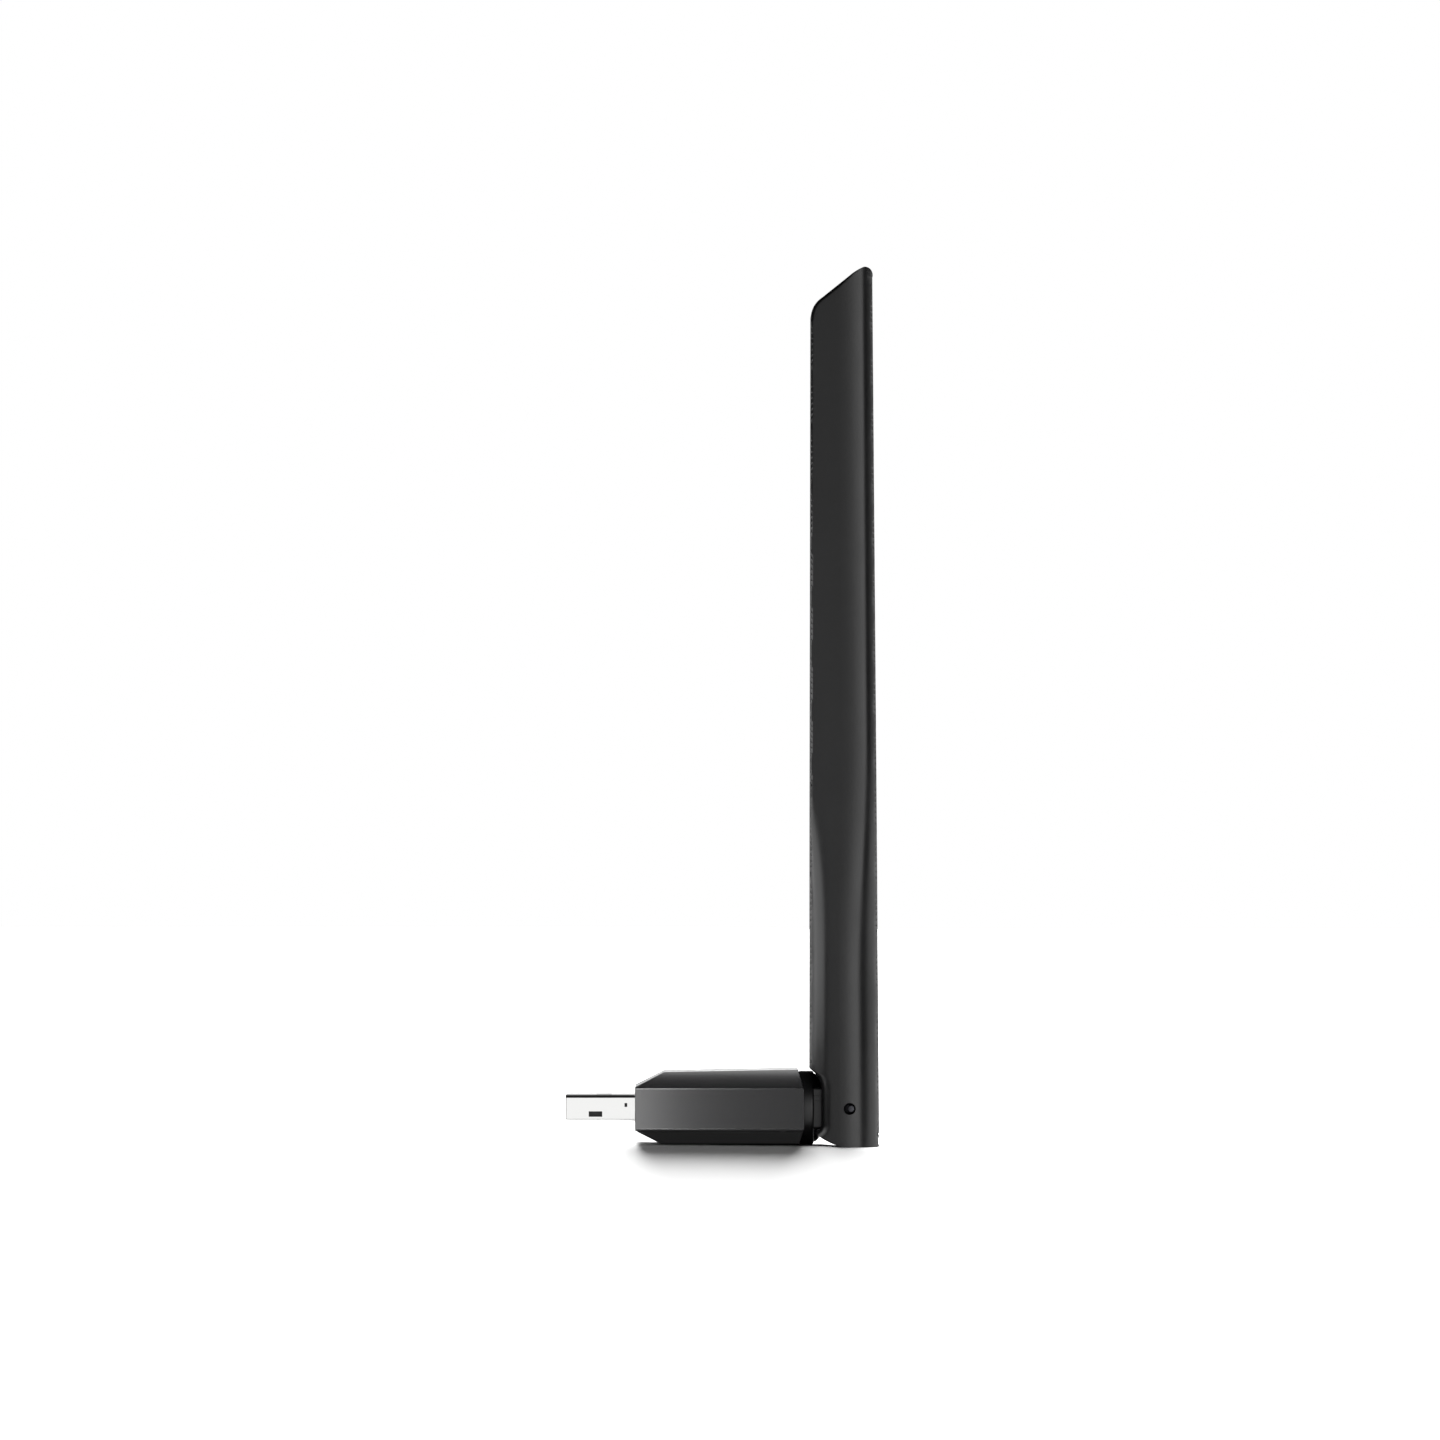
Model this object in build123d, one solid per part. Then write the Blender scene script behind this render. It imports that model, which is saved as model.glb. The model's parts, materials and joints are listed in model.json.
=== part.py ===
from build123d import *
import math
import os

# USB wifi adapter with a folding antenna. Millimetres, +Z up.
# The origin is on the plug's axis, at the case's front face, where it meets the port.
# The plug points along -X, the case lies along +X and the antenna stands along +Z.

os.makedirs("parts", exist_ok=True)

# --- driving dimensions ---
# plug, to the USB-A standard
PLUG_W, PLUG_H, PLUG_OUT = 12.0, 4.5, 11.6   # width (Y), height (Z), length outside the case
PLUG_IN = 6.5                                # length inside the case
SHELL_T = 0.3
SHELL_R = 0.55             # outer corner radius of the sleeve
TONGUE_HALF_W, TONGUE_Z0 = 5.65, -1.9
TONGUE_ROOT_X = -2.2       # the tongue grows out of the insulator's rear block here

# case
CASE_HALF_W = 9.0          # half-width, at the side facets
FACET_Z = 3.4              # side facets run from -3.4 to +3.4
FLAT_HALF_W = 6.2          # half-width of the flat top and bottom
CASE_END = 28.2            # rear end of the side facets
CASE_END_TOP = 27.25       # rear end at the flat top and bottom
CASE_FRONT_Z = 3.67        # half-height of the front face
NOSE_SLOPE = 0.517         # rise of the front slopes per mm of length
NOSE_CORNER = 0.4          # the front corners are cut off by this much, seen from above
CASE_EDGE_R = 0.15         # rounding on every outer edge of the covers
WALL = 1.25
CAVITY_X0, CAVITY_X1 = 1.4, 27.2
MOUTH_GAP = 0.05           # play between the plug's sleeve and its mouth in the case
PARTING_Z = -3.8           # the covers part just below the lower edge of the side facets

# swivel
FLANGE_R, FLANGE_X0, FLANGE_X1 = 6.15, 27.35, 29.85
SPIGOT_R, SPIGOT_X0 = 3.2, 23.2
RUN = 0.05                 # running clearance on the radius
BULKHEAD_X0, BULKHEAD_X1 = 25.2, 27.15
CLIP_X0, CLIP_X1 = 24.15, 24.65
SWIVEL_LIMIT = 90          # degrees each way
BLOCK_HALF_W, BLOCK_R, BLOCK_EDGE_R = 5.1, 3.5, 0.5
SLOT_HALF_W = 1.5
DOME_R, DOME_HALF_W = 5.75, 4.87   # rounded shoulder between the round base and the block

# antenna
PIN_X, PIN_R = 35.8, 0.95  # cross pin, at z = 0
PIN_END = 8.05             # the pins stop this far from the mid-plane, below the ears' faces
ANT_BOTTOM, ANT_TOP = -6.45, 140.7
ANT_HALF_W_FOOT, ANT_HALF_W_TOP = 9.0, 7.6
ANT_WALL = 1.25
BITE_R = 1.5               # rounding around the front bite that clears the swivel
EAR_INNER = 6.45           # inner face of each ear
FOOT_TOP = 6.67            # the front wall starts here, above the open foot
WEB_TOP = 8.2
BACK_WALL_Z = -4.2         # below here the back wall is arched, clear of the round base when folded

# board and cable
BOARD_Z0, BOARD_Z1 = -1.9, -0.9
BOARD_X0, BOARD_X1, BOARD_HALF_W = 1.7, 22.4, 7.0
COAX_R = 0.565
BEND_R = 3.5


def block(x0, x1, y0, y1, z0, z1):
    """A box between the given limits."""
    return Pos((x0 + x1) / 2, (y0 + y1) / 2, (z0 + z1) / 2) * Box(x1 - x0, y1 - y0, z1 - z0)


def bar_x(r, x0, x1, y=0, z=0):
    """A round bar along X."""
    return Pos((x0 + x1) / 2, y, z) * Rot(0, 90, 0) * Cylinder(r, x1 - x0)


def bar_y(r, y0, y1, x=0, z=0):
    """A round bar along Y."""
    return Pos(x, (y0 + y1) / 2, z) * Rot(90, 0, 0) * Cylinder(r, y1 - y0)


def bar_z(r, z0, z1, x=0, y=0):
    """A round bar along Z."""
    return Pos(x, y, (z0 + z1) / 2) * Cylinder(r, z1 - z0)


def side_prism(points, half_w):
    """A closed outline in the XZ plane, pulled out to both sides."""
    return extrude(Plane.XZ * make_face(Polyline(*points, close=True)), amount=half_w, both=True)


def save(name, solid):
    solid.label = name
    export_step(solid, f"parts/{name}.step")


# --- plug ---
def usb_shell():
    """Drawn steel sleeve with latch windows on the broad sides and small windows on the narrow sides."""
    w, h = PLUG_W / 2, PLUG_H / 2
    outer = fillet(block(-PLUG_OUT, PLUG_IN, -w, w, -h, h).edges().filter_by(Axis.X), SHELL_R)
    iw, ih = w - SHELL_T, h - SHELL_T
    inner = fillet(block(-PLUG_OUT - 1, PLUG_IN + 1, -iw, iw, -ih, ih).edges().filter_by(Axis.X), 0.3)
    shell = outer - inner
    for y in (-2.25, 2.25):
        shell -= block(-6.45, -3.95, y - 1.0, y + 1.0, -3, 3)
    for side in (-1, 1):
        y0, y1 = sorted((side * 5.5, side * 6.2))
        shell -= block(-7.73, -5.48, y0, y1, -1.38, -0.47)
        shell -= block(-1.75, -1.3, y0, y1, 0.26, 0.9)
        seam_y0, seam_y1 = sorted((side * 5.8, side * 6.2))
        shell -= block(-8.82, -8.58, seam_y0, seam_y1, 0.3, 1.05)
        shell -= Pos(-3.95, side * 6.1, 0.6) * Sphere(0.32)
        tab_y0, tab_y1 = sorted((side * 5.9, side * 6.95))
        shell += block(3.4, 5.4, tab_y0, tab_y1, BOARD_Z1, BOARD_Z1 + SHELL_T)
    return shell


CONTACTS = {
    "ground": (-3.5, -10.3),
    "data_plus": (-1.0, -9.3),
    "data_minus": (1.0, -9.3),
    "power": (3.5, -10.3),
}


def usb_contact(y, tip):
    """Gold-plated strip on the tongue, stepping down behind the insulator to a foot on the board."""
    strip = block(tip, 6.6, y - 0.5, y + 0.5, -0.1, 0.15)
    leg = block(6.35, 6.6, y - 0.5, y + 0.5, BOARD_Z1, 0.15)
    foot = block(6.35, 8.1, y - 0.5, y + 0.5, BOARD_Z1, BOARD_Z1 + 0.25)
    return strip + leg + foot


def usb_insulator(contacts):
    """Tongue and rear block in one moulding."""
    w = TONGUE_HALF_W
    tongue = block(-PLUG_OUT + 0.35, 0, -w, w, TONGUE_Z0, 0.0)
    rear = block(TONGUE_ROOT_X, 6.3, -w, w, TONGUE_Z0, -TONGUE_Z0)
    bore = block(-PLUG_OUT, PLUG_IN, -w, w, TONGUE_Z0, -TONGUE_Z0)
    body = (tongue + rear) & fillet(bore.edges().filter_by(Axis.X), 0.4)
    for contact in contacts:
        body -= contact
    return body


# --- case ---
def case_section(x, inset=0.0):
    """Hexagonal cross-section at x; the case grows slightly taller towards the rear."""
    top = 6.07 + 0.0177 * x - inset
    bottom = -5.89 - 0.0084 * x + inset
    w = CASE_HALF_W - inset
    edge = FACET_Z - 0.36 * inset
    flat = FLAT_HALF_W - 0.36 * inset
    points = [(w, -edge), (w, edge), (flat, top), (-flat, top), (-w, edge), (-w, -edge), (-flat, bottom),
              (flat, bottom)]
    return Plane.YZ.offset(x) * make_face(Polyline(*points, close=True))


def case_hull():
    """The outer shape of both covers together: a hexagonal bar with its ends and front corners cut."""
    hull = loft([case_section(-1), case_section(30)], ruled=True)
    reach = 7.5            # height of the cutting outline, beyond the bar's own
    nose = (reach - CASE_FRONT_Z) / NOSE_SLOPE
    lean = (CASE_END - CASE_END_TOP) / (6.3 - FACET_Z)
    tail = CASE_END - lean * (reach - FACET_Z)
    outline = [(0, CASE_FRONT_Z), (nose, reach), (tail, reach), (CASE_END, FACET_Z)]
    hull &= side_prism(outline + [(x, -z) for x, z in reversed(outline)], 12)
    wide = CASE_HALF_W + 1
    plan = [(0, CASE_HALF_W - NOSE_CORNER), (1 + NOSE_CORNER, wide), (30, wide), (30, -wide),
            (1 + NOSE_CORNER, -wide), (0, NOSE_CORNER - CASE_HALF_W)]
    hull &= extrude(Plane.XY * make_face(Polyline(*plan, close=True)), amount=10, both=True)
    return fillet(hull.edges(), CASE_EDGE_R)


def case_cavity(inset=WALL, x0=CAVITY_X0, x1=CAVITY_X1):
    """The room inside both covers, between two stations."""
    return loft([case_section(x0, inset), case_section(x1, inset)], ruled=True)


def case_shell(hull):
    """The hollow hull with full walls behind the nose slopes, the plug's mouth and the round base's seat."""
    shell = hull - case_cavity()
    slope = side_prism([(0.6, 0), (0.6, 2.6), (8, 6.3), (8, 8), (-2, 8), (-2, 0)], 12)
    slope += side_prism([(0.6, 0), (0.6, -2.6), (8, -6.3), (8, -8), (-2, -8), (-2, 0)], 12)
    shell += hull & slope
    w, h = PLUG_W / 2 + MOUTH_GAP, PLUG_H / 2 + MOUTH_GAP
    mouth = block(-1, 9, -w, w, -h, h)
    swivel_seat = bar_x(FLANGE_R + 0.2, CAVITY_X1, 29)
    return shell - mouth - swivel_seat


def top_cover(shell, hull):
    """Upper cover: roof, side walls and the whole front wall down to the parting line."""
    cover = shell & block(-1, 30, -10, 10, PARTING_Z, 9)
    for side in (-1, 1):
        y0, y1 = sorted((side * 5.5, side * 8.2))
        cover += block(24.3, 25.1, y0, y1, -3.0, 4.3) & hull
        cover += block(18.1, 18.8, y0, y1, BOARD_Z1, 4.6) & hull
    return cover


def bottom_cover(shell):
    """Tray with a locating lip inside the side walls and four posts under the board."""
    cover = shell & block(-1, 30, -10, 10, -9, PARTING_Z)
    for side in (-1, 1):
        y0, y1 = sorted((side * 5.85, side * 6.6))
        cover += block(9.0, 24.0, y0, y1, PARTING_Z - 0.8, -2.5)
        for x in (10.0, 19.5):
            cover += bar_z(0.9, -5.4, BOARD_Z0, x, side * 5.2)
    return cover


def rear_bulkhead():
    """Bearing plate trapped between the covers, with an arc slot for the swivel's stop tab."""
    plate = case_cavity(WALL + 0.05, BULKHEAD_X0, BULKHEAD_X1)
    plate -= bar_x(SPIGOT_R + RUN, 20, 30)
    ring = bar_x(4.5, 26.2, 27.5) - bar_x(3.65, 26.2, 27.5)
    reach = 8.0
    half_angle = math.radians(SWIVEL_LIMIT + 13)
    # the sector left out of the slot is a wedge about +Z
    edge_y, edge_z = reach * math.sin(half_angle), reach * math.cos(half_angle)
    lower = block(26.0, 28.0, -reach, reach, -reach, 0)
    sector = make_face(Polyline((0, 0), (edge_y, -edge_z), (reach, 0), close=True))
    wedge = extrude(Plane.YZ.offset(26.0) * sector, amount=2.0)
    return plate - (ring & (lower + wedge + mirror(wedge, about=Plane.XZ)))


# --- swivel ---
def swivel_knuckle():
    """Round base, bearing spigot and the block that carries the cross pin, in one moulding."""
    flange = bar_x(FLANGE_R, FLANGE_X0, FLANGE_X1)
    rims = flange.edges().filter_by(GeomType.CIRCLE).sort_by(Axis.X)
    flange = fillet(rims[-1], 0.35)
    neck = block(28.6, PIN_X, -BLOCK_HALF_W, BLOCK_HALF_W, -BLOCK_R, BLOCK_R)
    head = neck + bar_y(BLOCK_R, -BLOCK_HALF_W, BLOCK_HALF_W, PIN_X, 0)
    sides = head.faces().filter_by(Axis.Y)
    head = fillet(sides.edges(), BLOCK_EDGE_R)
    dome_outline = [
        (29.4, 0), (29.4, DOME_R), (29.9, DOME_R), (30.6, 5.25), (31.1, 4.4), (31.4, 3.3), (31.4, 0),
    ]
    dome_face = Plane.XZ * make_face(Polyline(*dome_outline, close=True))
    dome = revolve(dome_face, Axis.X) & block(29, 32, -DOME_HALF_W, DOME_HALF_W, -6, 6)
    base = flange + bar_x(SPIGOT_R, SPIGOT_X0, FLANGE_X0 + 1) + head + dome
    base -= bar_x(SPIGOT_R + 1, CLIP_X0 - 0.03, CLIP_X1 + 0.03) - bar_x(2.6, CLIP_X0 - 0.1, CLIP_X1 + 0.1)
    base -= bar_x(1.3, SPIGOT_X0 - 1, 32)
    base -= block(31.2, 41, -SLOT_HALF_W, SLOT_HALF_W, -1.3, 5)
    base -= bar_y(PIN_R, -8, 8, PIN_X, 0) - block(30, 41, -3.2, 3.2, -2, 2)
    for side in (-1, 1):
        for z in (1.25, 2.1):
            y0, y1 = sorted((side * (BLOCK_HALF_W - 0.25), side * (BLOCK_HALF_W + 0.2)))
            base -= block(29.9, 33.0, y0, y1, z - 0.1, z + 0.1)
    tab = bar_x(4.4, 26.35, FLANGE_X0 + 0.2) - bar_x(3.75, 26.0, 28.0)
    return base + (tab & block(26, 28, -0.65, 0.65, -6, 0))


def retaining_clip():
    """Open spring ring in the spigot's groove."""
    ring = bar_x(4.5, CLIP_X0, CLIP_X1) - bar_x(2.65, CLIP_X0 - 1, CLIP_X1 + 1)
    return ring - block(CLIP_X0 - 1, CLIP_X1 + 1, -1.9, 1.9, 0, 6)


def friction_washer():
    return bar_x(4.6, CLIP_X1 + 0.06, BULKHEAD_X0) - bar_x(SPIGOT_R + 0.12, 20, 30)


def hinge_pin(side):
    """Steel cross pin, pressed into one cheek of the block and running in that side's ear."""
    y0, y1 = sorted((side * 3.2, side * PIN_END))
    pin = bar_y(PIN_R, y0, y1, PIN_X, 0)
    outer = pin.edges().filter_by(GeomType.CIRCLE).sort_by(Axis.Y)[-1 if side > 0 else 0]
    return chamfer(outer, 0.35)


def hinge_washer(side):
    y0, y1 = sorted((side * (BLOCK_HALF_W + 0.02), side * (BLOCK_HALF_W + 0.2)))
    return bar_y(2.2, y0, y1, PIN_X, 0) - bar_y(1.0, -9, 9, PIN_X, 0)


# --- antenna ---
def antenna_x(z):
    """Front and back of the casing at height z: the front is nearly upright and the back leans forward."""
    front = 29.1 + 0.25 * (z - ANT_BOTTOM) / (ANT_TOP - ANT_BOTTOM)
    back = 40.8 - 1.2 * (z - ANT_BOTTOM) / (ANT_TOP - ANT_BOTTOM)
    return front, back


def antenna_half_w(z):
    share = max(0.0, (z - 10) / (ANT_TOP - 10))
    return ANT_HALF_W_FOOT + (ANT_HALF_W_TOP - ANT_HALF_W_FOOT) * share


def ease(value, low, high):
    """0 below the low value, 1 above the high one, and a smooth rise between."""
    t = min(1.0, max(0.0, (value - low) / (high - low)))
    return t * t * (3 - 2 * t)


def antenna_front_r(z):
    """The front corners are soft at the foot and grow crisp higher up."""
    return 0.35 + 3.0 * (1 - ease(z, 16, 62))


def antenna_back_r(z):
    """The back corners are fuller at the foot."""
    return 3.5 + 2.2 * (1 - ease(z, 20, 70))


def antenna_section(z, inset=0.0):
    """D-shaped cross-section at height z."""
    front, back = antenna_x(z)
    x0, x1 = front + inset, back - inset
    w = antenna_half_w(z) - inset
    rf = max(antenna_front_r(z) - inset, 0.3)
    rb = antenna_back_r(z) - inset
    q = math.sqrt(0.5)
    edges = [
        Line((x0, -(w - rf)), (x0, w - rf)),
        ThreePointArc((x0, w - rf), (x0 + rf * (1 - q), w - rf * (1 - q)), (x0 + rf, w)),
        Line((x0 + rf, w), (x1 - rb, w)),
        ThreePointArc((x1 - rb, w), (x1 - rb * (1 - q), w - rb * (1 - q)), (x1, w - rb)),
        Line((x1, w - rb), (x1, -(w - rb))),
        ThreePointArc((x1, -(w - rb)), (x1 - rb * (1 - q), -(w - rb * (1 - q))), (x1 - rb, -w)),
        Line((x1 - rb, -w), (x0 + rf, -w)),
        ThreePointArc((x0 + rf, -w), (x0 + rf * (1 - q), -(w - rf * (1 - q))), (x0, -(w - rf))),
    ]
    return Plane.XY.offset(z) * make_face(Curve() + edges)


def antenna_blank(inset=0.0):
    """The casing as a straight stack of lofts, before its side outline is cut."""
    heights = [-8, 16, 26, 36, 46, 56, 70, 143]
    sections = [antenna_section(z, inset) for z in heights]
    stack = loft(sections[:2], ruled=True)
    for low, high in zip(sections[1:], sections[2:]):
        stack += loft([low, high], ruled=True)
    return stack


def antenna_outline():
    """Side outline: sloped and rounded top, flat bottom, round heel and a bite at the front for the swivel."""
    lines = [
        Line((28.0, FOOT_TOP), (29.1, FOOT_TOP)),
        ThreePointArc((29.1, FOOT_TOP), (30.6, 5.1), (31.1, 2.7)),
        Line((31.1, 2.7), (31.1, -2.4)),
        ThreePointArc((31.1, -2.4), (30.75, -3.5), (29.95, -4.02)),
        ThreePointArc((29.95, -4.02), (32.2, -5.5), (34.9, ANT_BOTTOM)),
        Line((34.9, ANT_BOTTOM), (42.0, ANT_BOTTOM)),
        Line((42.0, ANT_BOTTOM), (42.0, 138.6)),
        Line((42.0, 138.6), (39.55, 138.6)),
        ThreePointArc((39.55, 138.6), (39.3, 140.1), (38.2, 140.45)),
        ThreePointArc((38.2, 140.45), (37.0, 139.85), (35.7, 138.9)),
        Line((35.7, 138.9), (31.2, 135.3)),
        ThreePointArc((31.2, 135.3), (29.85, 133.95), (29.3, 132.2)),
        Line((29.3, 132.2), (28.0, 132.2)),
        Line((28.0, 132.2), (28.0, FOOT_TOP)),
    ]
    return extrude(Plane.XZ * make_face(Curve() + lines), amount=12, both=True)


def rounded_bite(blank):
    """Rounds the edges of the front bite, on both sides."""
    def borders_bite(edge):
        middle = edge.center()
        return middle.X < 31.4 and -4.3 < middle.Z < 6.75 and abs(middle.Y) > 5.5 and edge.length < 12

    return fillet(blank.edges().filter_by(borders_bite), BITE_R)


def antenna_hollow():
    """The long hollow above the foot, closed by the web and the roof."""
    roof = [(25, WEB_TOP), (45, WEB_TOP), (45, 137.0), (36.4, 137.4), (31.6, 133.6), (25, 128.4)]
    return antenna_blank(ANT_WALL) & side_prism(roof, 12)


def antenna_casing():
    casing = rounded_bite(antenna_blank() & antenna_outline()) - antenna_hollow()
    # open foot between the ears, closed at the back by a thin wall with an arch for the round base
    casing -= block(20, 39.7, -EAR_INNER, EAR_INNER, -9, FOOT_TOP)
    casing -= bar_z(FLANGE_R + 0.25, -9, BACK_WALL_Z, PIN_X, 0)
    for side in (-1, 1):
        y0, y1 = sorted((side * (BLOCK_HALF_W + 0.28), side * (EAR_INNER + 0.1)))
        casing += bar_y(2.4, y0, y1, PIN_X, 0)
    casing -= bar_y(PIN_R + RUN, -12, 12, PIN_X, 0)
    casing -= bar_z(1.5, 6, 9, PIN_X, 0)
    # short ribs that hold the antenna board's edges
    for z in (20, 62, 112):
        for side in (-1, 1):
            y0, y1 = sorted((side * 5.7, side * (antenna_half_w(z) - 0.6)))
            casing += block(33.6, 34.32, y0, y1, z, z + 3)
            casing += block(35.3, 36.0, y0, y1, z, z + 3)
    return casing


PEG_HEIGHTS = (14.0, 48.0, 88.0, 126.0)


def peg_boss(z, side):
    """A boss near the back wall, from the mid-plane into the side wall but not through it."""
    y0, y1 = sorted((0, side * (antenna_half_w(z) - 1.1)))
    return bar_y(1.0, y0, y1, peg_x(z), z)


def peg_x(z):
    return antenna_x(z)[1] - 2.9


def antenna_cover_near(casing):
    """Near half, with the pegs."""
    half = casing & block(20, 50, -12, 0, -10, 150)
    for z in PEG_HEIGHTS:
        half += peg_boss(z, -1)
        half += bar_y(0.5, -1, 2.0, peg_x(z), z)
    return half


def antenna_cover_far(casing):
    """Far half, with the sockets."""
    half = casing & block(20, 50, 0, 12, -10, 150)
    for z in PEG_HEIGHTS:
        half += peg_boss(z, 1)
        half -= bar_y(0.55, -1, 2.3, peg_x(z), z)
    return half


# --- electronics ---
def circuit_board():
    """Board with a notch at the front that the plug's sleeve sits in."""
    board = block(BOARD_X0, BOARD_X1, -BOARD_HALF_W, BOARD_HALF_W, BOARD_Z0, BOARD_Z1)
    return board - block(0, 6.6, -6.05, 6.05, -3, 1)


def rf_shield_frame():
    z0, z1 = BOARD_Z1, BOARD_Z1 + 1.5
    return block(9.4, 18.4, -5.0, 5.0, z0, z1) - block(9.6, 18.2, -4.8, 4.8, z0 - 1, z1 + 1)


def rf_shield_lid():
    z1 = BOARD_Z1 + 1.5
    lid = block(9.18, 18.62, -5.22, 5.22, z1 - 0.7, z1 + 0.18)
    return lid - block(9.4, 18.4, -5.0, 5.0, z1 - 1, z1)


def chip(x, y, w, d, h, side=1):
    """A chip package on the board's upper (1) or lower (-1) face."""
    z0, z1 = (BOARD_Z1, BOARD_Z1 + h) if side > 0 else (BOARD_Z0 - h, BOARD_Z0)
    return block(x - w / 2, x + w / 2, y - d / 2, y + d / 2, z0, z1)


def chip_capacitors():
    """Small ceramic capacitors in two rows beside the shield."""
    row = [chip(x, side * 6.0, 1.0, 0.5, 0.5) for x in (10.0, 12.4, 14.8, 17.2) for side in (-1, 1)]
    return Compound(children=row)


SOCKET_X, SOCKET_Y = 20.4, 4.3
PLUG_Z = BOARD_Z1 + 1.25
CABLE_Z = PLUG_Z + 0.05
CRIMP_Y = 3.2              # the cable's end inside the crimp


def antenna_socket():
    base = chip(SOCKET_X, SOCKET_Y, 2.4, 2.4, 0.35)
    barrel = bar_z(0.95, BOARD_Z1 + 0.3, PLUG_Z, SOCKET_X, SOCKET_Y)
    return base + (barrel - bar_z(0.55, BOARD_Z1 + 0.5, PLUG_Z + 1, SOCKET_X, SOCKET_Y))


def coax_plug():
    """Snap-on cap over the socket, with a crimp that holds the cable."""
    cap = bar_z(1.3, BOARD_Z1 + 0.5, PLUG_Z + 0.75, SOCKET_X, SOCKET_Y)
    cap -= bar_z(0.97, BOARD_Z1, PLUG_Z + 0.02, SOCKET_X, SOCKET_Y)
    crimp = block(SOCKET_X - 0.85, SOCKET_X + 0.85, 2.2, 3.32, PLUG_Z - 0.55, PLUG_Z + 0.6)
    return cap + crimp - bar_y(COAX_R, 2.1, CRIMP_Y, SOCKET_X, CABLE_Z)


def cable(route):
    """Round cable along a route of straight runs and tangent arcs."""
    section = Plane(origin=route @ 0, z_dir=route % 0) * Circle(COAX_R)
    return sweep(section, path=route)


def coax_cable_case():
    """From the coax plug across the board and along the swivel's axis, where turning only twists it."""
    points = [(SOCKET_X, CRIMP_Y, CABLE_Z), (SOCKET_X, 0, CABLE_Z), (23.6, 0, 0), (31.0, 0, 0)]
    return cable(FilletPolyline(*points, radius=2.6))


def coax_cable_hinge():
    """The bend in the knuckle's slot, past the cross pin's line."""
    points = [(31.0, 0, 0), (PIN_X, 0, 0), (PIN_X, 0, WEB_TOP)]
    return cable(FilletPolyline(*points, radius=BEND_R))


FEED_Z = 66.0


def coax_cable_antenna():
    """Straight run up the casing, behind the antenna board."""
    return bar_z(COAX_R, WEB_TOP, FEED_Z, PIN_X, 0)


def antenna_board():
    return block(34.35, 35.2, -5.6, 5.6, 12.0, 126.0)


def antenna_element(z0, z1):
    """Printed sleeve dipole arm: a bar with two long fingers."""
    x0, x1 = 34.25, 34.35
    arm = block(x0, x1, -4.6, 4.6, z0, z1)
    gap = 0.35 * (z1 - z0)
    for side in (-1, 1):
        y0, y1 = sorted((side * 1.4, side * 3.2))
        arm -= block(x0 - 1, x1 + 1, y0, y1, z0 + gap, z1 - 2.0)
    return arm


def foam_pad(z):
    return block(30.9, 34.2, -4.0, 4.0, z, z + 9)


# --- write every piece ---
hull = case_hull()
shell = case_shell(hull)
casing = antenna_casing()
contacts = {name: usb_contact(*place) for name, place in CONTACTS.items()}

pieces = {
    "usb_shell": usb_shell(),
    "usb_insulator": usb_insulator(contacts.values()),
    "top_cover": top_cover(shell, hull),
    "bottom_cover": bottom_cover(shell),
    "rear_bulkhead": rear_bulkhead(),
    "friction_washer": friction_washer(),
    "circuit_board": circuit_board(),
    "rf_shield_frame": rf_shield_frame(),
    "rf_shield_lid": rf_shield_lid(),
    "wifi_chip": chip(14.4, 1.0, 6.0, 6.0, 0.85),
    "front_end_chip": chip(16.4, -3.4, 2.5, 2.0, 0.6),
    "crystal": chip(11.6, -3.4, 2.5, 2.0, 0.65),
    "voltage_regulator": chip(13.0, 3.0, 2.9, 1.6, 1.0, side=-1),
    "power_inductor": chip(13.0, -2.6, 2.5, 2.5, 1.1, side=-1),
    "chip_capacitors": chip_capacitors(),
    "antenna_socket": antenna_socket(),
    "coax_plug": coax_plug(),
    "coax_cable_case": coax_cable_case(),
    "swivel_knuckle": swivel_knuckle(),
    "retaining_clip": retaining_clip(),
    "hinge_pin_near": hinge_pin(-1),
    "hinge_pin_far": hinge_pin(1),
    "hinge_washer_near": hinge_washer(-1),
    "hinge_washer_far": hinge_washer(1),
    "coax_cable_hinge": coax_cable_hinge(),
    "antenna_cover_near": antenna_cover_near(casing),
    "antenna_cover_far": antenna_cover_far(casing),
    "antenna_board": antenna_board(),
    "antenna_element_lower": antenna_element(FEED_Z - 32, FEED_Z - 1),
    "antenna_element_upper": antenna_element(FEED_Z + 1, FEED_Z + 32),
    "feed_solder": block(35.2, 36.2, -1.0, 1.0, FEED_Z, FEED_Z + 1.8),
    "foam_pad_lower": foam_pad(24.0),
    "foam_pad_upper": foam_pad(100.0),
    "coax_cable_antenna": coax_cable_antenna(),
}
for name, contact in contacts.items():
    pieces["usb_contact_" + name] = contact
for name, solid in pieces.items():
    save(name, solid)
print(len(pieces), "nodes written")
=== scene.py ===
# %% [markdown]
# The adapter exists already as exact CAD pieces, each with its name, its place and the body it moves with. This file
# loads them and gives the visible ones softer, truer shapes and every piece its finish. The finished pieces have to
# fill the same room as the CAD box.

# %% Load the frame
import json
import math

import bmesh
import bpy
from mathutils import Matrix, Vector
from mathutils.geometry import delaunay_2d_cdt


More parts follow.
